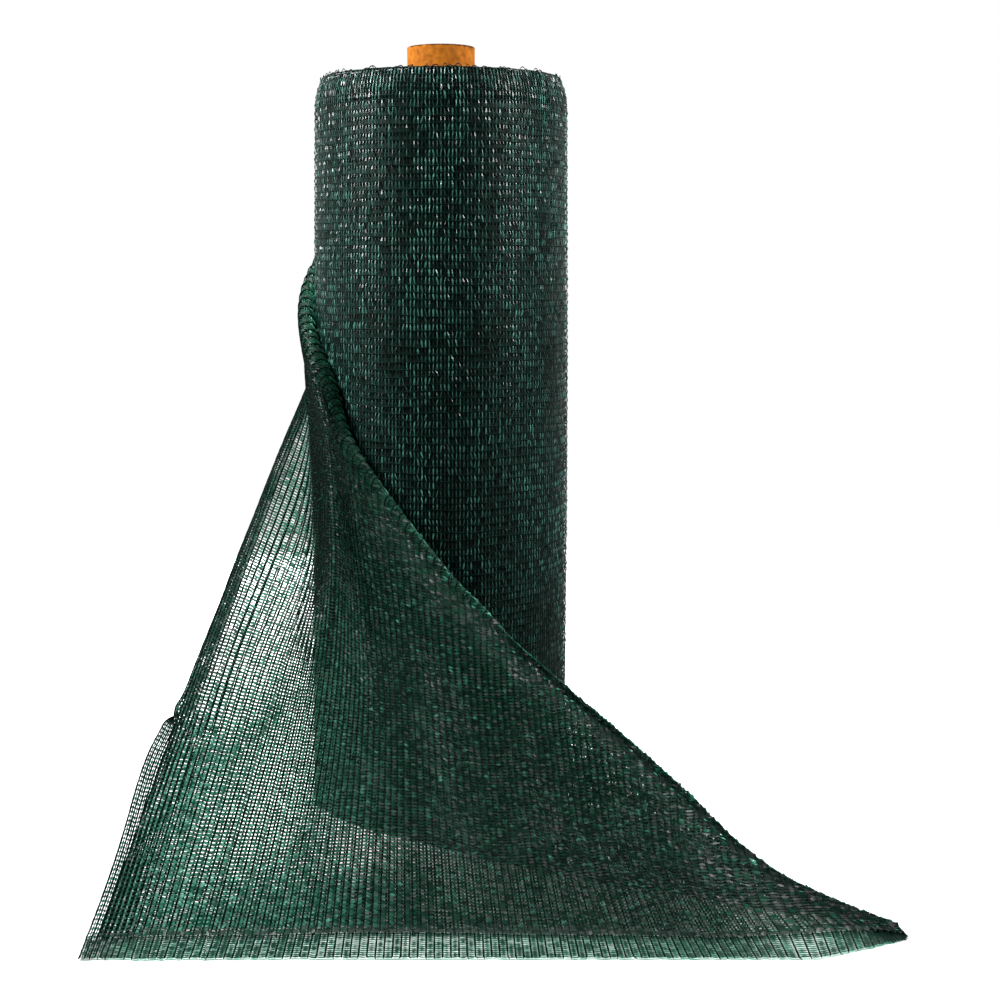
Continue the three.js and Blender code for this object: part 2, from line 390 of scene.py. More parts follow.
middle_path = chain_path(CHAINS / 2)[0]
print("the middle chain's path has", len(middle_path), "points")


# %% The rows of tapes along each chain
ROWS = 298
HEM_ROWS = 12
# Near the free selvedge the rows open up towards the cut end: by how much, and in how many chains.
OPEN_ROWS = 0.12
OPEN_CHAINS = 20


def chain_rows(chain):
    """Where the tape rows cross a chain, its length, and how far past the fold each row is."""
    points, strip, fold_place = chain_path(chain)
    total = measured(points)[-1]
    share = np.linspace(0, 1, ROWS - HEM_ROWS + 1)
    ease = OPEN_ROWS * max(1 - chain / OPEN_CHAINS, 0)
    share = share - ease * share * (1 - share)
    before_strip = share * (total - strip)
    in_strip = np.linspace(total - strip, total, HEM_ROWS + 1)[1:]
    places = np.concatenate([before_strip, in_strip])
    return resampled(points, places), total, places - fold_place


chain_places = np.arange(0, CHAINS + 0.1, 0.5)
knit, lengths, past_fold = (np.array(part) for part in zip(*(chain_rows(chain) for chain in chain_places)))
print("chains are", round(min(lengths), 3), "to", round(max(lengths), 3), "m long, in", ROWS, "rows")


# %% [markdown]
# ## The curled selvedge
# The free top selvedge has curled under itself, as the edge of a knit does. That makes the dense dark
# border down the left side. Low down, at a kink, the curl opens. Below it the edge is only gathered,
# and stands out a little. Scaling the border narrower would squeeze its chains together. Winding it
# in keeps the cloth's true width.

# %% Curl the selvedge
CURLED = 6
EDGE_LINE = 2 * CURLED
CURL_RADIUS = 0.009
KINK_HEIGHT = 0.215
CURL_OPENS = (KINK_HEIGHT - 0.015, KINK_HEIGHT + 0.010)
CURL_FADES = (0.74, 0.90)
# At the kink the edge juts out by the flare. Below it the nearest lines stand out by the bulge.
FLARE = 0.005
FLARE_REACH = 0.012
BULGE = 0.010
BULGE_LINES = 28
BULGE_POWER = 2.5
# Where two points lie together, this keeps the division from failing.
TINY = 1e-12


def smooth_step(low, high, value):
    """From 0 at low to 1 at high, with a gentle start and end."""
    t = np.clip((value - low) / (high - low), 0, 1)
    return t * t * (3 - 2 * t)


def along_and_normal(cloth):
    """For a grid of points: unit vectors along the chains, and the unit normals."""
    along = np.gradient(cloth, axis=1)
    across = np.gradient(cloth, axis=0)
    along /= np.linalg.norm(along, axis=2, keepdims=True) + TINY
    normal = np.cross(across, along)
    normal /= np.linalg.norm(normal, axis=2, keepdims=True) + TINY
    return along, normal


uncurled = knit
border = uncurled[0] - uncurled[EDGE_LINE]
border_width = np.linalg.norm(border, axis=1)
border_out = border / border_width[:, None]
border_back = along_and_normal(uncurled)[1][EDGE_LINE]


def rolled_edge(chain, radius):
    """Where a chain of the border lies when the border bends to the back with this radius."""
    run = (CURLED - chain) * CHAIN_SPACING
    flat = border_width - radius
    angle = np.maximum(run - flat, 0) / radius
    outwards = np.minimum(run, flat) + radius * np.sin(angle)
    backwards = radius * (1 - np.cos(angle))
    return uncurled[EDGE_LINE] + border_out * outwards[:, None] + border_back * backwards[:, None]


edge_height = uncurled[0, :, 2]
curl = smooth_step(*CURL_OPENS, edge_height) * (1 - smooth_step(*CURL_FADES, edge_height))
bulge = BULGE * np.sin(np.pi * np.clip(edge_height / KINK_HEIGHT, 0, 1) ** BULGE_POWER)
flare = FLARE * np.exp(-(((edge_height - KINK_HEIGHT) / FLARE_REACH) ** 2))
knit = uncurled.copy()
for line in range(EDGE_LINE):
    inwards = rolled_edge(line / 2, CURL_RADIUS) - uncurled[line]
    knit[line] = uncurled[line] + inwards * curl[:, None] + border_out * flare[:, None]
for line in range(BULGE_LINES):
    knit[line] += border_out * (bulge * (1 - line / BULGE_LINES))[:, None]
print("the border is", round(float(border_width[curl > 0.5].mean()) * 1000), "mm wide where it is curled")

# %% [markdown]
# ## Soft waves, and the place where the turn comes loose
# Cloth is never quite even. Slow noise moves each point of the grid along its normal, but only where
# the cloth is free of the roll and the floor. The loose turn starts under the outer turn of the roll,
# so its first rows lie deeper and rise to the surface behind the roll, out of the camera's sight.

# %% Ruffle the cloth
RUFFLE = 0.005
FREE_FROM_ROLL = (0.19, 0.24)
FREE_FROM_FLOOR = (0, 0.08)
# How deep the first row lies, as a share of the roll's radius, and how many rows it takes to come up.
START_DEPTH = 0.045
START_ROWS = 30
UPPER_LIFT = 0.0014


def waves(shape, across, along, seed):
    """Smooth noise over the grid of the knit, with its steps in each direction."""
    return np.array([
        [noise.noise(Vector((k * across / 2, n * along, seed))) for n in range(shape[1])]
        for k in range(shape[0])
    ])


def lifted(cloth, height):
    """Moves each point of a grid along its normal."""
    return cloth + along_and_normal(cloth)[1] * height[:, :, None]


def on_floor(cloth, height):
    """Keeps a grid above the floor, and raises all of it by this height."""
    return np.concatenate([cloth[:, :, :2], np.maximum(cloth[:, :, 2:], 0) + height], axis=2)


grid = knit.shape[:2]
from_axis = np.hypot(knit[:, :, 0], knit[:, :, 1])
free = smooth_step(*FREE_FROM_ROLL, from_axis) * smooth_step(*FREE_FROM_FLOOR, knit[:, :, 2])
broad_waves = waves(grid, across=0.11, along=0.012, seed=3.7)
small_waves = waves(grid, across=0.3, along=0.05, seed=9.1)
ruffle = (broad_waves + 0.4 * small_waves) * RUFFLE * free
rising = (1 - START_DEPTH) + START_DEPTH * smooth_step(0, START_ROWS, np.arange(ROWS + 1))
from_below = np.stack([rising, rising, np.ones(ROWS + 1)], axis=1)
upper_knit = on_floor(lifted(knit, ruffle), UPPER_LIFT) * from_below
print("the cloth is ruffled by up to", round(float(np.abs(ruffle).max()) * 1000, 1), "mm")

# %% [markdown]
# ## The second layer
# Such net is often knitted two rolls wide and folded lengthwise before it is wound, so every turn is
# double. The two layers hardly stick together, and their chains slide past each other. Where they
# lie in step the net looks open, and where they don't it looks twice as fine. A copy of the first
# layer would always be in step, so each point of the second is looked up a little to the side.

# %% Lay the second layer on the first
FIRST_CHAIN = 2
SECOND_ROWS = ROWS - HEM_ROWS + 2
# How far the second layer has slid, in chains.
MEAN_SLIDE = 0.45
# The gap between the layers on the roll, what is added where the cloth hangs free, and its waves.
LAYER_GAP = 0.0016
FREE_GAP = 0.0012
GAP_WAVES = 0.006
# Close to the fold on the right, the second layer lies on the outside, and the gap changes sides.
AT_FOLD = (0.004, 0.030)
CHANGE_SIDES = 1.4
RIGHT_HAND = (-0.02, 0.12)
LOWER_LIFT = 0.0034

slow_slide = waves(grid, across=0.05, along=0.008, seed=21.3)
quick_slide = waves(grid, across=0.2, along=0.03, seed=5.9)
slide = MEAN_SLIDE + 0.5 * slow_slide + 0.12 * quick_slide
place = np.clip(np.arange(len(knit))[:, None] + 2 * slide, 0, len(knit) - 1 - 1e-6)
below = place.astype(int)
rows = np.arange(ROWS + 1)[None, :]
part = (place - below)[:, :, None]
lower_knit = uncurled[below, rows] * (1 - part) + uncurled[below + 1, rows] * part

right_hand = smooth_step(*RIGHT_HAND, knit[:, :, 0])
near_fold = 1 - smooth_step(*AT_FOLD, np.abs(past_fold))
gap_waves = np.abs(waves(grid, across=0.08, along=0.02, seed=14.2))
gap = LAYER_GAP + free * (FREE_GAP + GAP_WAVES * gap_waves)
gap = gap * (1 - CHANGE_SIDES * near_fold * right_hand)
lower_knit = on_floor(lifted(lower_knit, ruffle - gap), LOWER_LIFT) * from_below
lower_knit = lower_knit[2 * FIRST_CHAIN :, :SECOND_ROWS]
print("the second layer has", len(lower_knit[::2]), "chains")

# %% [markdown]
# ## Where the cloth is bunched
# On the right the cloth is crowded in two bands: along the fold, and where the skirt meets the floor.
# The tapes overlap there, so less light comes through. One number for each point of the grid says
# how crowded it is. It widens the tapes, with no need for more cloth, and darkens them: painted shade.

# %% Find the bunched bands
FOLD_BAND = (0.014, 0.040)
FOOT_BAND = (0.020, 0.055)

fold_band = (1 - smooth_step(*FOLD_BAND, np.abs(past_fold))) * right_hand
foot_band = (1 - smooth_step(*FOOT_BAND, knit[:, :, 2])) * (past_fold < 0) * right_hand
bunched = np.maximum(fold_band, foot_band)
print("bunched:", round(float(bunched.mean()) * 100, 1), "% of the cloth")

# %% [markdown]
# ## From points to strips
# Each chain is a cord of three faces round, thick enough to show from the side too. Each tape is a
# short strip of film, narrow where the chains grip it and wider between them. It is twisted a little
# and bulges, which is what makes it glint. Both have few faces, because there are tens of thousands.

# %% Strips to a mesh
SEED = 11
random = np.random.default_rng(SEED)
print("tones and unevenness are drawn from seed", SEED)


def strips_to_piece(name, strips, tones, material, closed=False, smooth=False):
    """strips is an array of points, by strip, step and place across. Each point has a tone from 0 to 1."""
    count, steps, places, _ = strips.shape
    index = np.arange(count * steps * places).reshape(count, steps, places)
    if closed:
        index = np.concatenate([index, index[:, :, :1]], axis=2)
    corners = [index[:, :-1, :-1], index[:, 1:, :-1], index[:, 1:, 1:], index[:, :-1, 1:]]
    quads = np.stack(corners, axis=-1)
    mesh = bpy.data.meshes.new(name)
    mesh.from_pydata((strips + AXIS).reshape(-1, 3).tolist(), [], quads.reshape(-1, 4).tolist())
    tone = mesh.attributes.new("tone", "FLOAT", "POINT")
    point_tones = np.broadcast_to(tones.reshape(count, -1, 1), (count, steps, places))
    tone.data.foreach_set("value", point_tones.ravel())
    mesh.materials.append(material)
    mesh.polygons.foreach_set("use_smooth", [smooth] * len(mesh.polygons))
    piece = bpy.data.objects.new(name, mesh)
    bpy.context.collection.objects.link(piece)
    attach(piece, "root")
    print(name, "has", 2 * len(mesh.polygons), "triangles")
    return piece


# %% Chains and tapes as strips
THICKEST = 1.15
WIDEST = 1.2
SLIP = 0.001


def chain_strips(cloth, width, thickness, taper=1.0, thinnest=0.8):
    """A cord of three faces along each line, a little thicker and thinner from stitch to stitch."""
    along, normal = along_and_normal(cloth)
    side = np.cross(normal, along)
    size = random.uniform(thinnest, THICKEST, cloth.shape[:2])[:, :, None] * taper
    low, high = -normal * thickness * size * 0.4, normal * thickness * size * 0.6
    reach = side * width * size / 2
    return np.stack([cloth + low - reach, cloth + high, cloth + low + reach], axis=2)


def tape_strips(cloth, width, grip, twist_by, bulge_by, uneven=0.3):
    """cloth has a line for each chain and one between. width is one number, or one for each tape."""
    along, normal = along_and_normal(cloth)
    start, middle, end = cloth[:-1:2], cloth[1::2], cloth[2::2]
    shape = (*middle.shape[:2], 1)
    slip = random.normal(0, SLIP * uneven, shape)
    start = start + along[:-1:2] * slip
    end = end - along[2::2] * slip
    twist = random.uniform(-1, 1, shape) * twist_by
    wide = width * random.uniform(1 - uneven, WIDEST, shape)
    face = along[1::2] * np.cos(twist) + normal[1::2] * np.sin(twist)
    middle = middle + normal[1::2] * random.uniform(0.2, 1, shape) * bulge_by
    held = along[1::2] * grip / 2
    sections = [(start, held), (middle, face * wide / 2), (end, held)]
    edges = [np.stack([point - reach, point + reach], axis=2) for point, reach in sections]
    return np.stack(edges, axis=2).reshape(-1, 3, 2, 3)


print("a layer has up to", CHAINS * (ROWS + 1), "tapes of 4 triangles each")

# %% [markdown]
# ## The loose turn
# The cut end is frayed: each chain sticks out a little past the last tape, and tapers off. At each
# selvedge of the real net the chains are knitted closer, so a few thin ones are added halfway between.
# The tapes are wider where the cloth is bunched, and darker there, as painted shade. In the strip on
# the floor they are wide and flat, because nothing pulls them there.

# %% The chains of a layer
SELVEDGE = 4
CHAIN_WIDTH = 0.0023
SELVEDGE_WIDTH = 0.0013
CHAIN_THICKNESS = 0.7
TAIL_REACH = (0.002, 0.008)
TAIL_STRAY = 0.0012
TAIL_TAPER = [[0.7], [0.3]]


def with_tails(cloth):
    """Adds two more points to each chain: the end that sticks out past the last tape."""
    ahead = cloth[:, -1] - cloth[:, -3]
    ahead /= np.linalg.norm(ahead, axis=1, keepdims=True)
    reach = random.uniform(*TAIL_REACH, (len(cloth), 1))
    stray = random.normal(0, TAIL_STRAY, (len(cloth), 3)) * [1, 0.3, 0]
    halfway = cloth[:, -1] + ahead * reach / 2 + stray * 0.4
    tip = cloth[:, -1] + ahead * reach + stray
    return np.concatenate([cloth, np.stack([halfway, tip], axis=1)], axis=1)


def selvedge_lines(cloth):
    """The extra chains halfway between the last few at each selvedge."""
    return np.concatenate([cloth[1 : 2 * SELVEDGE : 2], cloth[-2 * SELVEDGE : -1 : 2]])


def layer_chains(name, lines, width, closed):
    """The chains of one layer of the loose turn, tapered where they stick out past the tapes."""
    lines = with_tails(lines)
    taper = np.ones((1, lines.shape[1], 1))
    taper[:, -2:] = TAIL_TAPER
    strips = chain_strips(lines, width, CHAIN_THICKNESS * width, taper)
    tones = random.uniform(0, 1, lines.shape[:2])
    return strips_to_piece(name, strips, tones, CHAIN, closed=closed, smooth=True)


print("chains are", CHAIN_WIDTH * 1000, "mm wide, and those added at a selvedge", SELVEDGE_WIDTH * 1000, "mm")


# %% The tapes of a layer
TAPE_WIDTH = 0.0038
TAPE_GRIP = 0.0013
TAPE_BULGE = 0.0004
TAPE_TWIST = 0.8
# What the strip on the floor changes, by how much, and over which chains that fades in at the left.
FLAT_WIDENS = 0.40
FLAT_TWIST_LOSS = 0.65
FLAT_TONE, FLAT_TONE_SHARE = 0.4, 0.7
FLAT_FROM_EDGE = (2, 8)
# What crowding changes: the tapes widen, and darken as painted shade.
CROWD_WIDENS = 0.3
CROWD_PAINTED_SHADE = 0.7


def layer_tapes(name, layer, crowd):
    """The tapes of one layer of the loose turn."""
    crowd = crowd[1::2]
    past_crease = np.arange(crowd.shape[1]) > ROWS - HEM_ROWS
    clear_of_edge = smooth_step(*FLAT_FROM_EDGE, np.arange(len(crowd)))
    flat_end = past_crease[None, :] * clear_of_edge[:, None]
    width = TAPE_WIDTH * (1 + CROWD_WIDENS * crowd + FLAT_WIDENS * flat_end)
    twist = TAPE_TWIST - FLAT_TWIST_LOSS * flat_end
    strips = tape_strips(layer, width[:, :, None], TAPE_GRIP, twist[:, :, None], TAPE_BULGE)
    # Crowded tapes get a darker tone: painted shade.
    tones = random.uniform(0.2, 0.95, crowd.shape) * (1 - CROWD_PAINTED_SHADE * crowd)
    tones = tones + (FLAT_TONE - tones) * FLAT_TONE_SHARE * flat_end
    return strips_to_piece(name, strips, tones.ravel(), LOOSE_FILM_PAINTED_SHADE)


# %% The first layer
loose_parts = [
    layer_chains("loose_chains", upper_knit[::2], CHAIN_WIDTH, closed=True),
    layer_chains("loose_selvedges", selvedge_lines(upper_knit), SELVEDGE_WIDTH, closed=True),
]
loose_tapes = layer_tapes("loose_tapes", upper_knit, bunched)
# The tapes cover 0.48 of the net's flat area. The rest is holes.
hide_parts("loose_end")

# %% The second layer, which ends at the crease
second_crowd = bunched[2 * FIRST_CHAIN :, :SECOND_ROWS]
second_chains = layer_chains("second_chains", lower_knit[::2], CHAIN_WIDTH, closed=False)
second_tapes = layer_tapes("second_tapes", lower_knit, second_crowd)

# %% [markdown]
# ## The wound net
# Below the outer turn of the knit there are dozens more, so nothing is seen through them. Making all
# of them would take millions of faces that nobody sees. Two real turns, one of chains and tapes and
# one of chains only, lie on a dark body, whose material carries the turns beneath. Its near-black
# is painted shade between those turns.

# %% The surface of the roll
TURN_ROWS = 222
TOP_SPACING = 0.0106
# The upper rim is rounded, and the belly ends below it.
ROUNDING = 0.010
ROUNDED_FROM, ROUNDED_OVER = 0.960, 0.040
BELLY_HEIGHT = 0.986
# The rows of the knit wobble from stitch to stitch and sway from side to side.
WOBBLE = 0.0024
SWAY = 0.005
EDGE_MARGIN = 0.0008

around = np.linspace(0, 2 * np.pi, TURN_ROWS + 1)


def roll_radius(height):
    rounded = ROUNDING * np.clip((height - ROUNDED_FROM) / ROUNDED_OVER, 0, 1) ** 2
    belly = ROLL_BELLY * np.sin(np.pi * np.clip(height / BELLY_HEIGHT, 0, 1))
    return ROLL_RADIUS + belly - rounded


def waves_round(across, along, seed):
    """Smooth noise for each point of a turn. It meets itself after one turn, so it has no seam."""
    return np.array([
        [noise.noise(Vector((math.cos(t) * across, math.sin(t) * across + seed, k * along))) for t in around]
        for k in chain_places
    ])


def wound_turn(depth, drop, seed):
    """The grid of points of one turn, this far below the surface, with its rows this much lower."""
    chain = chain_places[:, None]
    narrowing = (TOP_SPACING * CHAINS - NET_WIDTH) / CHAINS**2
    height = NET_WIDTH - TOP_SPACING * chain + narrowing * chain**2
    wobble = WOBBLE * waves_round(across=2.5, along=0.8, seed=seed)
    sway = SWAY * waves_round(across=1.3, along=0.1, seed=40) * np.sin(np.pi * chain / CHAINS)
    height = np.clip(height + wobble + sway - drop, EDGE_MARGIN, NET_WIDTH - EDGE_MARGIN)
    radius = roll_radius(height) - depth
    return np.stack([radius * np.sin(around), -radius * np.cos(around), height], axis=2)


print("the roll is", round(2 * float(roll_radius(NET_WIDTH / 2)), 4), "m across its belly")


# %% The two outer turns on the roll
def turn_chains(name, turn):
    """The chains of one turn on the roll. Pressed flat, they are wider than the loose ones, and uneven."""
    lines = np.concatenate([turn[::2], selvedge_lines(turn)])
    strips = chain_strips(lines, width=0.0031, thickness=0.0014, thinnest=0.35)
    tones = random.uniform(0, 1, lines.shape[:2])
    return strips_to_piece(name, strips, tones, CHAIN, smooth=True)


under_chains = turn_chains("under_chains", wound_turn(depth=0.0018, drop=0.0022, seed=3.3))
outer = wound_turn(depth=0.0004, drop=0.0, seed=0.0)
outer_chains = turn_chains("outer_chains", outer)
tapes = tape_strips(outer, width=0.0023, grip=0.0012, twist_by=0.7, bulge_by=0.0012, uneven=0.55)
# Broad patches of brighter and darker tones, and a few pale tapes among many dark ones: painted sheen and
# glints.
painted_sheen_streaks = 0.8 + 0.9 * waves(outer[1::2].shape, across=0.12, along=0.16, seed=31.7).ravel()
tones = np.clip(random.uniform(0, 1, len(tapes)) ** 1.4 * painted_sheen_streaks, 0, 1)
outer_tapes = strips_to_piece("outer_tapes", tapes, tones, WOUND_FILM_PAINTED_GLINTS)


# %% A material for the turns beneath
# The size of one tape in the pattern, round the roll and up.
TAPE_CELL = (0.0021, 0.0095)


def round_the_axis(tree):
    """Three outputs: the place on the object, its height, and its angle round the roll's axis."""
    place = add(tree, "ShaderNodeTexCoord").outputs["Object"]
    centred = add(tree, "ShaderNodeMapping", {"Vector": place, "Location": [-AXIS[0], -AXIS[1], 0]})
    split = add(tree, "ShaderNodeSeparateXYZ", {"Vector": centred.outputs[0]})
    angle = add(tree, "ShaderNodeMath", {0: split.outputs["Y"], 1: split.outputs["X"]}, operation="ARCTAN2")
    return place, split.outputs["Z"], angle.outputs[0]


def wound_turns(name):
    """Many turns of film and thread: dark green, darkened towards black as painted shade between the turns,
    with upright spots as large as one tape.
    """
    material, tree = new_material(name)
    _, height, angle = round_the_axis(tree)
    distance = add(tree, "ShaderNodeMath", {0: angle, 1: ROLL_RADIUS}, operation="MULTIPLY")
    flat = add(tree, "ShaderNodeCombineXYZ", {"X": distance.outputs[0], "Y": height})
    cell_scale = [1 / TAPE_CELL[0], 1 / TAPE_CELL[1], 1]
    cells = add(tree, "ShaderNodeMapping", {"Vector": flat.outputs[0], "Scale": cell_scale})
    spots = add(tree, "ShaderNodeTexNoise", {"Vector": cells.outputs[0], "Scale": 1.0, "Detail": 2.0})
    tone = add(tree, "ShaderNodeValToRGB", {"Fac": spots.outputs["Fac"]},
               stops=[(0.45, "#010D09"), (0.75, "#0C3A2C")])
    film = add(tree, "ShaderNodeBsdfPrincipled", {
        "Base Color": tone.outputs["Color"], "Roughness": 0.55,
        "IOR": POLYETHYLENE_IOR, "Specular IOR Level": 0.12})
    add(tree, "ShaderNodeOutputMaterial", {"Surface": film.outputs[0]})
    return material


WOUND_BENEATH_PAINTED_SHADE = wound_turns("wound turns of net, with painted shade")
print("material:", WOUND_BENEATH_PAINTED_SHADE.name)


# %% The body under the two turns
CORE_OUTSIDE = float(core_high[0] - core_low[0]) / 2
CORE_CLEARANCE = 0.0004
BODY_DEPTH = 0.0032
BODY_FOOT = 0.0005
BODY_SHOULDER = 0.988
BODY_TOP = 0.991
BODY_STEPS = 48
SHARP_ANGLE = math.radians(40)


def turned_piece(name, profile, material, sides=128):
    """Spins an outline, of radius and height, round the roll's axis."""
    shape = bmesh.new()
    rim = [shape.verts.new((AXIS[0] + radius, AXIS[1], height)) for radius, height in profile]
    edges = [shape.edges.new(pair) for pair in zip(rim, rim[1:] + rim[:1])]
    bmesh.ops.spin(shape, geom=rim + edges, cent=AXIS, axis=(0, 0, 1), angle=2 * math.pi,
                   steps=sides, use_merge=True)
    bmesh.ops.remove_doubles(shape, verts=shape.verts, dist=1e-6)
    bmesh.ops.recalc_face_normals(shape, faces=shape.faces)
    mesh = bpy.data.meshes.new(name)
    shape.to_mesh(mesh)
    shape.free()
    mesh.materials.append(material)
    mesh.polygons.foreach_set("use_smooth", [True] * len(mesh.polygons))
    mesh.set_sharp_from_angle(angle=SHARP_ANGLE)
    piece = bpy.data.objects.new(name, mesh)
    bpy.context.collection.objects.link(piece)
    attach(piece, "root")
    print(name, "has", len(mesh.polygons), "faces")
    return piece


body_heights = np.linspace(BODY_FOOT, BODY_SHOULDER, BODY_STEPS)
body_profile = [(CORE_OUTSIDE + CORE_CLEARANCE, BODY_FOOT)]
body_profile += [(float(roll_radius(height)) - BODY_DEPTH, height) for height in body_heights]
body_profile += [(CORE_OUTSIDE + CORE_CLEARANCE, BODY_TOP)]
wound_body = turned_piece("wound_body", body_profile, WOUND_BENEATH_PAINTED_SHADE)
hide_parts("wound_roll")

# %% [markdown]
# ## The wound ends
# Seen from above, the turns of the net make a close spiral of selvedges. None lies level with the
# next, so the rim looks ragged, and here and there a loop of thread stands up. A flat lid with rings
# painted on would look smooth from the side, so the spiral is one long upright strip.

# %% The spiral of selvedges
TURN_PITCH = 0.0030
EDGE_TURNS = 37
STEPS_IN_TURN = 72
EDGE_START = 0.0015
EDGE_THICKNESS = 0.0008
EDGE_FOOT = 0.990
EDGE_DROP = 0.0035
EDGE_WAVE = 0.006
WAVES_ROUND, WAVES_OUT = 1.7, 1.3


def round_points(radius, angle, height):
    """Points on the roll, with the angle counted from the front."""
    return np.stack([radius * np.sin(angle), -radius * np.cos(angle), height], axis=1)


def spiral_edge():
    """Upright strips that wind from the tube out to the rim."""
    turn = np.arange(EDGE_TURNS * STEPS_IN_TURN + 1) / STEPS_IN_TURN
    angle = 2 * np.pi * turn
    radius = CORE_OUTSIDE + EDGE_START + TURN_PITCH * turn
    wave = np.array([
        noise.noise(Vector((math.cos(a) * WAVES_ROUND, math.sin(a) * WAVES_ROUND, t * WAVES_OUT)))
        for a, t in zip(angle, turn)
    ])
    top = round_points(radius, angle, NET_WIDTH - EDGE_DROP + EDGE_WAVE * wave)
    out = round_points(1, angle, 0 * angle) * EDGE_THICKNESS
    foot = top * [1, 1, 0] + [0, 0, EDGE_FOOT]
    return np.stack([foot - out, top, foot + out], axis=1)[None]


edges = spiral_edge()
wound_edges = strips_to_piece("wound_edges", edges, random.uniform(0, 1, edges.shape[:2]), CHAIN)

# %% Loops of thread on the rim
LOOPS = 170
LOOP_POINTS = 9
LOOP_SPREAD = (0.02, 0.09)
LOOP_HEIGHT = (0.0, 0.0055)
LOOP_INSIDE = (0.007, 0.013)
LOOP_FOOT = NET_WIDTH - 0.002
LOOP_THICKNESS = 0.0007


def rim_loop():
    """One low arch of thread, somewhere on the rim."""
    middle = random.uniform(0, 2 * math.pi)
    spread = random.uniform(*LOOP_SPREAD)
    height = random.uniform(*LOOP_HEIGHT)
    radius = ROLL_RADIUS - random.uniform(*LOOP_INSIDE)
    share = np.linspace(0, 1, LOOP_POINTS)
    angle = middle + spread * (share - 0.5)
    line = round_points(radius, angle, LOOP_FOOT + height * np.sin(np.pi * share))
    thick = np.array([0, 0, LOOP_THICKNESS])
    out = round_points(1, angle, 0 * angle) * LOOP_THICKNESS
    return np.stack([line - thick, line + out, line + thick], axis=1)


loops = np.array([rim_loop() for _ in range(LOOPS)])
loop_tones = random.uniform(0, 1, (LOOPS, LOOP_POINTS))
rim_loops = strips_to_piece("rim_loops", loops, loop_tones, CHAIN, closed=True, smooth=True)

# %% [markdown]
# ## The cardboard tube
# The net is wound on a tube of brown board. Such a tube is made from a strip that is wound on a
# slant and glued, so a thin dark seam climbs round it. Its rim is cut, and scuffed where it was
# handled. The tube is an outline spun round the axis. The seam is worked out from the height and the
# angle, so it climbs by one strip's width in each turn, and noise nicks the rim.

# %% Board
BOARD_STRIP = 0.070
# The seam takes up this share of the strip, and is this much of the board's brightness.
SEAM_SHARE = 0.02
SEAM_SHADE = 0.55
# The nicks in the rim: how deep they vary, how far below the top they start, and their brightness.
NICK_DEPTH = 0.009
NICKS_BELOW_TOP = 0.0065
NICK_SHADE = 0.25
# The board's blotches are about 8 mm wide, so there are 120 of them in a metre.
BLOTCHES_PER_METRE = 120.0


def wound_board(name, top):
    """Brown board, wound in a slanting strip: a dark line where strips meet, and a scuffed upper rim."""
    material, tree = new_material(name)
    place, height, angle = round_the_axis(tree)
    turn = add(tree, "ShaderNodeMath", {0: angle, 1: 2 * math.pi}, operation="DIVIDE")
    strips = add(tree, "ShaderNodeMath", {
        0: height, 1: 1 / BOARD_STRIP, 2: turn.outputs[0]}, operation="MULTIPLY_ADD")
    across = add(tree, "ShaderNodeMath", {0: strips.outputs[0]}, operation="FRACT")
    seam = add(tree, "ShaderNodeMapRange", {
        "Value": across.outputs[0], "From Min": 0.0, "From Max": SEAM_SHARE,
        "To Min": SEAM_SHADE, "To Max": 1.0})
    blotches = add(tree, "ShaderNodeTexNoise", {
        "Vector": place, "Scale": BLOTCHES_PER_METRE, "Detail": 8.0}).outputs["Fac"]
    edge = add(tree, "ShaderNodeMath", {
        0: blotches, 1: NICK_DEPTH, 2: top - NICKS_BELOW_TOP}, operation="MULTIPLY_ADD")
    whole = add(tree, "ShaderNodeMath", {0: height, 1: edge.outputs[0]}, operation="LESS_THAN")
    clean = add(tree, "ShaderNodeMath", {0: whole.outputs[0], 1: NICK_SHADE}, operation="MAXIMUM")
    shade = add(tree, "ShaderNodeMath", {0: seam.outputs[0], 1: clean.outputs[0]}, operation="MULTIPLY")
    tone = add(tree, "ShaderNodeValToRGB", {"Fac": blotches}, stops=[(0.3, "#8A4A08"), (0.7, "#BC7016")])
    dimmed = add(tree, "ShaderNodeVectorMath", {
        0: tone.outputs["Color"], "Scale": shade.outputs[0]}, operation="SCALE")
    board = add(tree, "ShaderNodeBsdfPrincipled", {
        "Base Color": dimmed.outputs[0], "Roughness": 0.8, "Specular IOR Level": 0.15})
    add(tree, "ShaderNodeOutputMaterial", {"Surface": board.outputs[0]})
    return material


core_top = float(core_high[2])
BOARD = wound_board("spirally wound board", core_top)
print("material:", BOARD.name)

# %% Tube
CORE_BORE = 0.038
CORE_EDGE = 0.001
CORE_SIDES = 96

core_profile = [
    (CORE_BORE, 0.0),
    (CORE_OUTSIDE, 0.0),
    (CORE_OUTSIDE, core_top - CORE_EDGE),
    (CORE_OUTSIDE - CORE_EDGE, core_top),
    (CORE_BORE + CORE_EDGE, core_top),
    (CORE_BORE, core_top - CORE_EDGE),
]
core = turned_piece("cardboard_tube", core_profile, BOARD, CORE_SIDES)
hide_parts("core_tube")

# %% [markdown]
# ## Floor and light
# The photograph has a white ground that runs into a white background, and yet the roll's front is
# nearly black. A white floor in Blender would throw its light up at the front. So the floor's paint
# asks which ray sees it: pale for the camera, and grey for light that bounces. The world is treated
# alike: white for the camera, bright behind the net and dark in front of it.

# %% Floor
FLOOR_REACH = 2.3
FLOOR_DROP = 0.0004


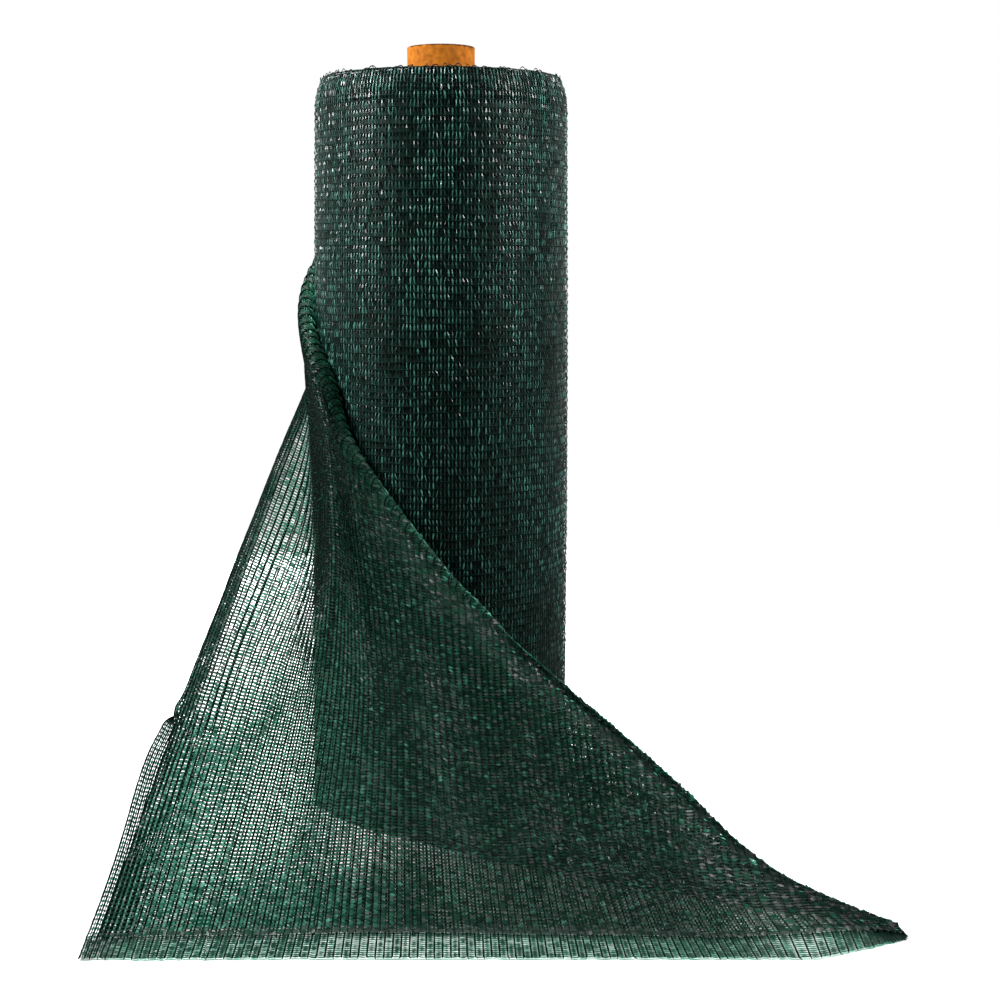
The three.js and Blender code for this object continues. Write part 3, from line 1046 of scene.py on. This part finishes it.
def plain_paint(name, code, unlit):
    """A pale matt floor in the picture that throws little light back up at the object."""
    material, tree = new_material(name)
    seen = add(tree, "ShaderNodeLightPath")
    shade = add(tree, "ShaderNodeMix", {
        0: seen.outputs["Is Camera Ray"], 6: colour(unlit), 7: colour(code)}, data_type="RGBA")
    paint = add(tree, "ShaderNodeBsdfPrincipled", {
        "Base Color": shade.outputs[2], "Roughness": 0.9, "Specular IOR Level": 0.0})
    add(tree, "ShaderNodeOutputMaterial", {"Surface": paint.outputs[0]})
    return material


shape = bmesh.new()
bmesh.ops.create_grid(shape, x_segments=1, y_segments=1, size=FLOOR_REACH)
bmesh.ops.translate(shape, verts=shape.verts, vec=(0, 0, -FLOOR_DROP))
mesh = bpy.data.meshes.new("floor")
shape.to_mesh(mesh)
shape.free()
mesh.materials.append(plain_paint("pale floor paint", "#F4F4F2", "#6A6A6A"))
floor = bpy.data.objects.new("floor", mesh)
bpy.context.collection.objects.link(floor)
print("the floor is", 2 * FLOOR_REACH, "m wide")

# %% World
world = bpy.data.worlds.new("studio")
bpy.context.scene.world = world
world.use_nodes = True
sky = world.node_tree
sky.nodes.clear()
direction = add(sky, "ShaderNodeTexCoord")
split = add(sky, "ShaderNodeSeparateXYZ", {"Vector": direction.outputs["Generated"]})
behind = add(sky, "ShaderNodeMapRange", {
    "Value": split.outputs["Y"], "From Min": -0.1, "From Max": 0.6, "To Min": 0.02, "To Max": 1.0})
seen = add(sky, "ShaderNodeLightPath")
strength = add(sky, "ShaderNodeMath", {
    0: behind.outputs[0], 1: seen.outputs["Is Camera Ray"]}, operation="MAXIMUM")
paper = add(sky, "ShaderNodeBackground", {"Strength": strength.outputs[0], "Color": [1, 1, 1, 1]})
add(sky, "ShaderNodeOutputWorld", {"Surface": paper.outputs[0]})
bpy.context.scene.view_settings.view_transform = "Standard"
print("world:", world.name)

# %% [markdown]
# ## Lamps
# Four soft lamps do the rest. One above and behind lights the net from the far side. A panel low
# behind it makes the loose net on the left glow. Two tall boxes, high on either side, draw the bright
# glints down the roll's edges. The lamps give light, but don't show in the picture.

# %% Lamps
def area_light(name, place, aim, size, power):
    """A soft rectangular lamp, placed and aimed in metres from the roll's axis."""
    light = bpy.data.lights.new(name, "AREA")
    light.shape = "RECTANGLE"
    light.size, light.size_y = size
    light.energy = power
    lamp = bpy.data.objects.new(name, light)
    bpy.context.collection.objects.link(lamp)
    lamp.visible_camera = False
    lamp.location = Vector(place) + Vector(AXIS)
    lamp.rotation_euler = (Vector(aim) - Vector(place)).to_track_quat("-Z", "Y").to_euler()
    return lamp


lamps = [
    area_light("overhead", place=(0, 0.8, 3.2), aim=(0, 0.8, 0), size=(4, 4), power=185),
    area_light("left box", place=(-1.35, -0.45, 1.55), aim=(0, 0, 1.0), size=(0.4, 0.7), power=50),
    area_light("back panel", place=(-0.55, 1.8, 0.55), aim=(-0.4, -0.2, 0.3), size=(0.6, 1.0), power=30),
    area_light("right box", place=(1.3, -0.55, 1.55), aim=(0, 0, 1.0), size=(0.3, 0.7), power=32),
]
# The panel only lights the net from behind. It isn't mirrored in the tapes.
lamps[2].visible_glossy = False
print("lamps:", ", ".join(lamp.name for lamp in lamps))
